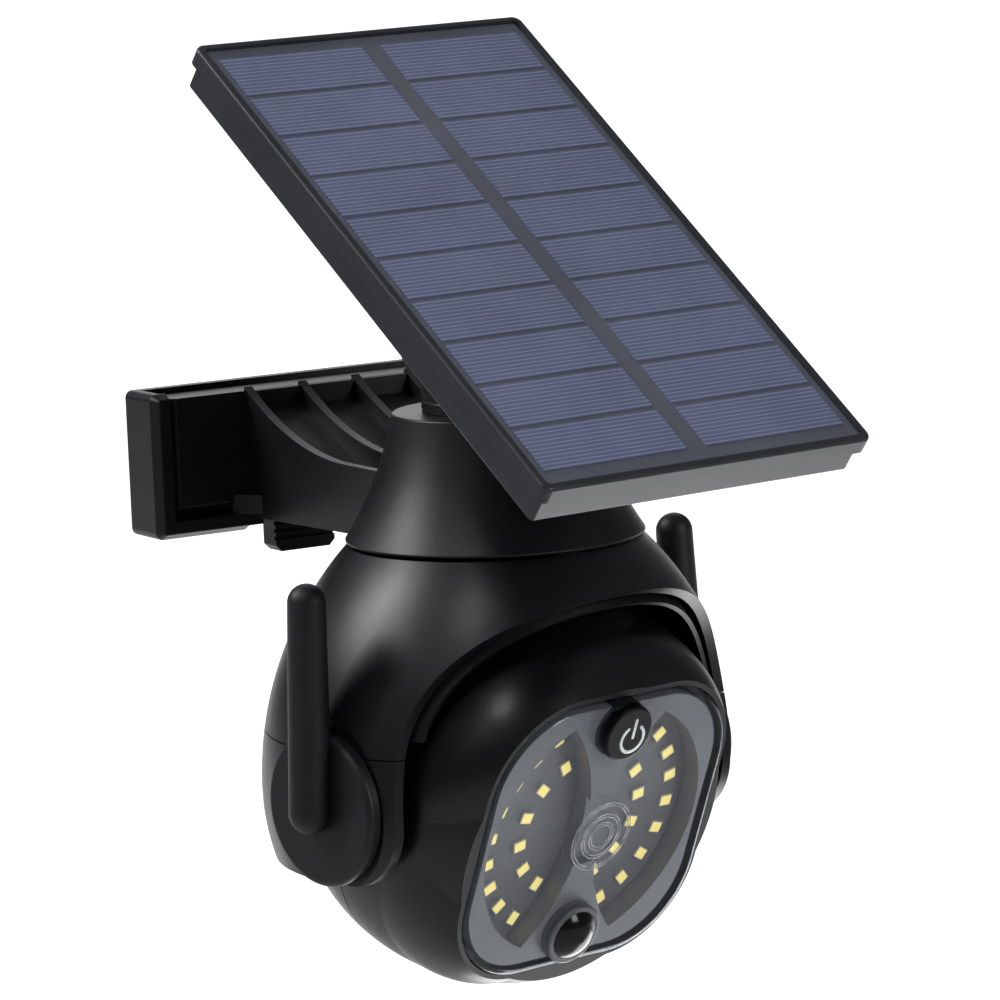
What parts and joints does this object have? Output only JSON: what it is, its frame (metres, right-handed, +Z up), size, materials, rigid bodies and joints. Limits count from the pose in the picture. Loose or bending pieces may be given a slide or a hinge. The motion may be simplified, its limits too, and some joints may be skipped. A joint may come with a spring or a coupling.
{
  "type": "solar security light",
  "caption": "Wall-mounted solar motion light shaped like a dome security camera, with tilting ball head, twin dummy antennas and a tilting panel on a swivel.",
  "frame": {"origin": "centre of the wall plate's back face, on the wall", "axes": "+Z up along the wall, +Y into the wall, so the lamp stands out along -Y and +X is to the right of someone facing the wall"},
  "size_m": [0.135, 0.1883, 0.2356],
  "materials": {
    "bracket_black": "satin moulded black",
    "plate_black": "satin moulded black",
    "latch_black": "satin moulded black",
    "shell_black": "satin moulded black",
    "liner_black": "matte moulded black",
    "ball_black": "satin moulded black",
    "antenna_black": "matte moulded black",
    "ear_black": "matte moulded black",
    "clear_cover": "clear moulded plastic",
    "mask_grey": "matte grey",
    "led_board": "dark grey solder mask",
    "led_package": "white package, yellow phosphor",
    "gasket": "soft black",
    "button_black": "polished black",
    "sensor_dome": "polished black, passes infrared",
    "sensor_collar": "satin dark grey",
    "steel": "plated screw steel",
    "sensor_can": "nickel can",
    "board_green": "green solder mask",
    "chip_black": "moulded black",
    "inner_black": "moulded black",
    "cell_wrap": "blue sleeve",
    "contact_plate": "nickel plated spring steel",
    "bush_white": "natural acetal",
    "turntable_black": "satin moulded black",
    "knob_black": "matte moulded black",
    "frame_black": "satin moulded black",
    "tray_black": "satin moulded black",
    "solar_board": "dark laminate under clear resin",
    "solar_cell": "blue-grey silicon",
    "stem_shaft": "plated steel"
  },
  "bodies": {
    "bracket": {"wall_plate": "plate_black", "arm_bracket": "bracket_black", "base_ring": "inner_black", "base_screws": "steel"},
    "latch": {"release_latch": "latch_black"},
    "shell": {"shell_hood": "shell_black", "shell_bowl": "shell_black", "pan_retainer": "bush_white", "retainer_screws": "steel", "hood_liner": "liner_black", "shell_screws": "steel", "tilt_bushes": "bush_white"},
    "left_antenna": {"ear_cap_left": "ear_black", "antenna_left": "antenna_black"},
    "right_antenna": {"ear_cap_right": "ear_black", "antenna_right": "antenna_black"},
    "head": {"ball_front": "ball_black", "ball_rear": "ball_black", "ball_screws": "steel", "tilt_pins": "stem_shaft", "clear_cover": "clear_cover", "cover_gasket": "gasket", "face_mask": "mask_grey", "led_board": "led_board", "led_emitters": "led_package", "power_switch": "chip_black", "switch_board": "board_green", "sensor_dome": "sensor_dome", "sensor_collar": "sensor_collar", "motion_sensor": "sensor_can", "main_board": "board_green", "board_chips": "chip_black", "battery_cradle": "inner_black", "battery_cell": "cell_wrap", "battery_contacts": "contact_plate"},
    "button": {"power_button": "button_black"},
    "turntable_group": {"turntable": "turntable_black", "turntable_washer": "bush_white", "turntable_screw": "steel", "hinge_bolt": "stem_shaft", "hinge_washer": "bush_white"},
    "panel": {"panel_frame": "frame_black", "panel_tray": "tray_black", "solar_board": "solar_board", "solar_cells": "solar_cell", "panel_screws": "steel"},
    "knob": {"thumb_knob": "knob_black"}
  },
  "joints": [
    {"name": "latch_flex", "type": "hinge", "parent": "bracket", "child": "latch", "pos_m": [-0.0063, -0.0036, 0.00025], "axis": [1, 0, 0], "range_deg": [0, 5], "stiffness_Nm_per_rad": 0.12},
    {"name": "shell_pan", "type": "hinge", "parent": "bracket", "child": "shell", "pos_m": [0, -0.0955, -0.0144], "axis": [0, 0, 1], "range_deg": [-180, 159]},
    {"name": "left_antenna_turn", "type": "hinge", "parent": "shell", "child": "left_antenna", "pos_m": [0, -0.0955, -0.0729], "axis": [0.9816, 0.1908, 0], "range_deg": [-90, 90]},
    {"name": "right_antenna_turn", "type": "hinge", "parent": "shell", "child": "right_antenna", "pos_m": [0, -0.0955, -0.0729], "axis": [0.9816, 0.1908, 0], "range_deg": [-90, 90]},
    {"name": "head_tilt", "type": "hinge", "parent": "shell", "child": "head", "pos_m": [0, -0.0955, -0.0729], "axis": [0.9816, 0.1908, 0], "range_deg": [-17.5, 57.5]},
    {"name": "button_press", "type": "slide", "parent": "head", "child": "button", "axis": [-0.1763, 0.9069, 0.3827], "range_m": [0, 0.0012], "stiffness_N_per_m": 900, "springref_m": -0.0006},
    {"name": "panel_pan", "type": "hinge", "parent": "bracket", "child": "turntable_group", "pos_m": [0, -0.0955, -0.0144], "axis": [0, 0, 1], "range_deg": [-103, 87]},
    {"name": "panel_tilt", "type": "hinge", "parent": "turntable_group", "child": "panel", "pos_m": [0, -0.0955, 0.0356], "axis": [0.9903, 0.1392, 0], "range_deg": [-37.5, 22.5]},
    {"name": "knob_turn", "type": "hinge", "parent": "turntable_group", "child": "knob", "pos_m": [0, -0.0955, 0.0356], "axis": [0.9903, 0.1392, 0], "range_deg": [-180, 180]}
  ]
}
